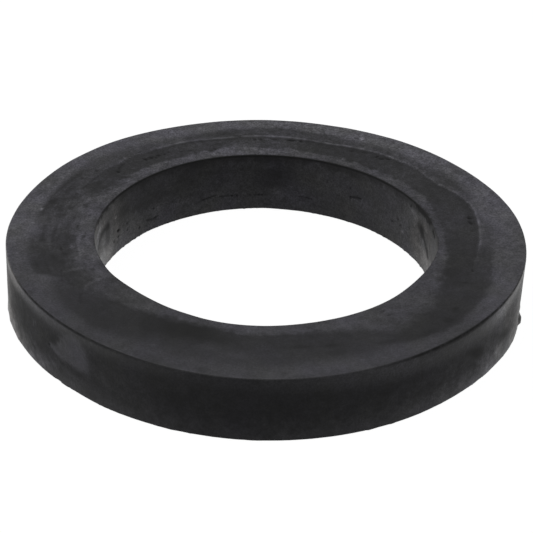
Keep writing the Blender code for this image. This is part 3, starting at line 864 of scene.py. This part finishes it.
# random hue, turned warm towards the left and right ends: painted warm reflection seen at a grazing angle
tint[k] = 0.62 + 0.6 * hue[k] - 0.45 * smooth(np.abs(np.cos(theta[k])), 0.80, 0.97)
marks = small_marks(theta, rho, dep, face)
albedo_and_painted_light = np.clip(albedo_and_painted_light * marks, 0.002, 0.30)
rough = np.clip(rough + 0.35 * np.clip(1 - marks, 0, 1), 0.2, 1.0)  # no shine inside a pit

colour = np.stack([albedo_and_painted_light, rough, grain, np.clip(tint, 0, 1)], -1).astype(np.float32)
layer = mesh.color_attributes.new("tone", "FLOAT_COLOR", "POINT")
layer.data.foreach_set("color", colour.reshape(-1))


# ---------------------------------------------------------------- rubber
def rubber():
    m = bpy.data.materials.new("moulded_rubber")
    m.use_nodes = True
    nt = m.node_tree
    nodes, links = nt.nodes, nt.links
    shader = nodes["Principled BSDF"]

    attr = nodes.new("ShaderNodeAttribute")
    attr.attribute_name = "tone"
    split = nodes.new("ShaderNodeSeparateColor")
    links.new(attr.outputs["Color"], split.inputs[0])
    where = nodes.new("ShaderNodeTexCoord")

    def grain(scale, detail, low, high):
        n = nodes.new("ShaderNodeTexNoise")
        n.inputs["Scale"].default_value = scale
        n.inputs["Detail"].default_value = detail
        n.inputs["Roughness"].default_value = 0.6
        links.new(where.outputs["Object"], n.inputs["Vector"])
        r = nodes.new("ShaderNodeMapRange")
        r.inputs["From Min"].default_value = 0.3
        r.inputs["From Max"].default_value = 0.7
        r.inputs["To Min"].default_value = low
        r.inputs["To Max"].default_value = high
        links.new(n.outputs["Fac"], r.inputs["Value"])
        return r.outputs["Result"]

    def times(a, b):
        n = nodes.new("ShaderNodeMath")
        n.operation = "MULTIPLY"
        links.new(a, n.inputs[0])
        links.new(b, n.inputs[1])
        return n.outputs[0]

    def speckle(scale, detail, strength):
        """1, plus grain as strong as the mesh's own measure of it."""
        g = times(grain(scale, detail, -strength, strength), split.outputs[2])
        n = nodes.new("ShaderNodeMath")
        n.operation = "ADD"
        links.new(g, n.inputs[0])
        n.inputs[1].default_value = 1.0
        return n.outputs[0]

    value = times(times(split.outputs[0], speckle(2900, 2, 0.62)), speckle(1100, 3, 0.26))
    ramp = nodes.new("ShaderNodeValToRGB")
    e = ramp.color_ramp.elements
    e[0].position, e[0].color = 0.0, (1.035, 0.99, 0.985, 1.0)
    e[1].position, e[1].color = 1.0, (1.0, 0.970, 1.17, 1.0)
    e.new(0.35).color = (1.0, 0.992, 1.035, 1.0)
    links.new(attr.outputs["Alpha"], ramp.inputs["Fac"])
    tint = nodes.new("ShaderNodeMix")
    tint.data_type = "RGBA"
    tint.blend_type = "MULTIPLY"
    tint.inputs["Factor"].default_value = 1.0
    links.new(value, tint.inputs[6])
    links.new(ramp.outputs["Color"], tint.inputs[7])
    links.new(tint.outputs[2], shader.inputs["Base Color"])
    links.new(split.outputs[1], shader.inputs["Roughness"])
    shader.inputs["IOR"].default_value = 1.5

    bump = nodes.new("ShaderNodeBump")
    bump.inputs["Strength"].default_value = 0.35
    bump.inputs["Distance"].default_value = 0.00004
    links.new(grain(2200, 3, 0.0, 1.0), bump.inputs["Height"])
    links.new(bump.outputs["Normal"], shader.inputs["Normal"])
    return m


mesh.materials.append(rubber())
ring = bpy.data.objects.new("gasket_rubber", mesh)
bpy.context.scene.collection.objects.link(ring)
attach(ring, "root")
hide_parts("gasket")


# ---------------------------------------------------------------- floor and light
def sweep(name):
    """A wide floor that curves up all round into a backdrop."""
    b = bmesh.new()
    rings = [(0.3, 0.0), (0.8, 0.0), (1.4, 0.0)]
    for k in range(1, 9):
        g = math.radians(11.25 * k)
        rings.append((1.4 + 0.8 * math.sin(g), 0.8 - 0.8 * math.cos(g)))
    rings += [(2.2, 2.2), (2.0, 3.4)]
    sides = 96
    last = None
    for r, z in rings:
        row = [b.verts.new((r * math.cos(2 * math.pi * i / sides), r * math.sin(2 * math.pi * i / sides), z)) for i in range(sides)]
        if last is None:
            b.faces.new(row)
        else:
            for i in range(sides):
                b.faces.new((last[i], row[i], row[(i + 1) % sides], last[(i + 1) % sides]))
        last = row
    bmesh.ops.recalc_face_normals(b, faces=b.faces[:])
    me = bpy.data.meshes.new(name)
    b.to_mesh(me)
    b.free()
    me.shade_smooth()
    o = bpy.data.objects.new(name, me)
    o.location.z = -0.0001
    bpy.context.scene.collection.objects.link(o)
    return o


def pale(name, strength):
    m = bpy.data.materials.new(name)
    m.use_nodes = True
    shader = m.node_tree.nodes["Principled BSDF"]
    shader.inputs["Base Color"].default_value = (0.10, 0.10, 0.10, 1.0)
    shader.inputs["Roughness"].default_value = 1.0
    shader.inputs["Specular IOR Level"].default_value = 0.0
    shader.inputs["Emission Color"].default_value = (1, 1, 1, 1)
    shader.inputs["Emission Strength"].default_value = strength
    return m


floor = sweep("floor")
floor.data.materials.append(pale("pale_floor", 0.97))
for ray in ("diffuse", "glossy", "transmission", "shadow"):
    setattr(floor, "visible_" + ray, False)


def light_from(bearing, elevation):
    """Direction of a light: bearing in degrees from straight behind, positive to the left."""
    b, e = math.radians(bearing), math.radians(elevation)
    return (-math.sin(b) * math.cos(e), math.cos(b) * math.cos(e), math.sin(e))


# Soft light from all round: (direction, sharpness, strength, colour)
LIGHT = (
    (light_from(0, -30), 7.0, 1.00, (1.0, 1.0, 1.0)),
    (light_from(70, -30), 7.0, 0.30, (1.0, 1.0, 1.0)),
    (light_from(110, -30), 7.0, 0.38, (1.0, 1.0, 1.0)),
    (light_from(-35, -30), 7.0, 0.48, (1.0, 1.0, 1.0)),
    (light_from(-70, -30), 7.0, 0.20, (1.0, 1.0, 1.0)),
    (light_from(-110, -30), 7.0, 0.15, (1.0, 1.0, 1.0)),
    (light_from(-150, -30), 7.0, 0.26, (1.0, 1.0, 1.0)),
    (light_from(50, 30), 5.0, 0.22, (1.0, 1.0, 1.0)),
    (light_from(100, 30), 5.0, 0.70, (1.0, 1.0, 1.0)),
    (light_from(150, 30), 5.0, 0.12, (1.0, 1.0, 1.0)),
    (light_from(-50, 30), 5.0, 0.05, (1.0, 1.0, 1.0)),
    (light_from(-100, 30), 5.0, 0.32, (1.0, 1.0, 1.0)),
    (light_from(-150, 30), 5.0, 0.12, (1.0, 1.0, 1.0)),
    (light_from(0, 90), 4.0, 0.70, (1.0, 1.0, 1.0)),
)
FILL = 0.0


def studio():
    world = bpy.data.worlds.new("studio")
    bpy.context.scene.world = world
    world.use_nodes = True
    nt = world.node_tree
    nodes, links = nt.nodes, nt.links
    nodes.clear()
    out = nodes.new("ShaderNodeOutputWorld")
    back = nodes.new("ShaderNodeBackground")
    links.new(back.outputs[0], out.inputs[0])
    where = nodes.new("ShaderNodeTexCoord")
    total = None
    for direction, sharp, strength, tint in LIGHT:
        dot = nodes.new("ShaderNodeVectorMath")
        dot.operation = "DOT_PRODUCT"
        links.new(where.outputs["Generated"], dot.inputs[0])
        dot.inputs[1].default_value = Vector(direction).normalized()
        less = nodes.new("ShaderNodeMath")
        less.operation = "SUBTRACT"
        links.new(dot.outputs["Value"], less.inputs[0])
        less.inputs[1].default_value = 1.0
        scaled = nodes.new("ShaderNodeMath")
        scaled.operation = "MULTIPLY"
        links.new(less.outputs[0], scaled.inputs[0])
        scaled.inputs[1].default_value = sharp
        power = nodes.new("ShaderNodeMath")
        power.operation = "EXPONENT"
        links.new(scaled.outputs[0], power.inputs[0])
        lobe = nodes.new("ShaderNodeVectorMath")
        lobe.operation = "SCALE"
        lobe.inputs[0].default_value = [c * strength for c in tint]
        links.new(power.outputs[0], lobe.inputs["Scale"])
        if total is None:
            plus = nodes.new("ShaderNodeVectorMath")
            plus.operation = "ADD"
            plus.inputs[0].default_value = (FILL, FILL, FILL)
            links.new(lobe.outputs[0], plus.inputs[1])
        else:
            plus = nodes.new("ShaderNodeVectorMath")
            plus.operation = "ADD"
            links.new(total, plus.inputs[0])
            links.new(lobe.outputs[0], plus.inputs[1])
        total = plus.outputs[0]
    links.new(total, back.inputs["Color"])
    back.inputs["Strength"].default_value = 1.0


studio()


# ---------------------------------------------------------------- camera
def camera():
    elevation, roll = 0.5305, 0.0226
    distance = 6.6177 * 47.55 * MM
    right = Vector((1, 0, 0))
    forward = Vector((0, math.cos(elevation), -math.sin(elevation)))
    up = right.cross(forward)
    x_axis = right * math.cos(roll) + up * math.sin(roll)
    y_axis = -right * math.sin(roll) + up * math.cos(roll)
    data = bpy.data.cameras.new("camera")
    data.sensor_width = 36.0
    data.lens = 36.0 * 1684.29 / 533.0
    data.shift_x = (266.0 - 265.60) / 533.0
    data.shift_y = (260.16 - 266.0) / 533.0
    data.clip_start = 0.01
    data.clip_end = 100.0
    cam = bpy.data.objects.new("camera", data)
    bpy.context.scene.collection.objects.link(cam)
    place_at = -forward * distance + Vector((SHEAR * MM, 0, 12.2 * MM / 2))
    rot = Matrix((x_axis, y_axis, -forward)).transposed().to_4x4()
    cam.matrix_world = Matrix.Translation(place_at) @ rot
    bpy.context.scene.camera = cam


camera()
bpy.context.scene.view_settings.view_transform = "Standard"
bpy.context.scene.view_settings.look = "None"
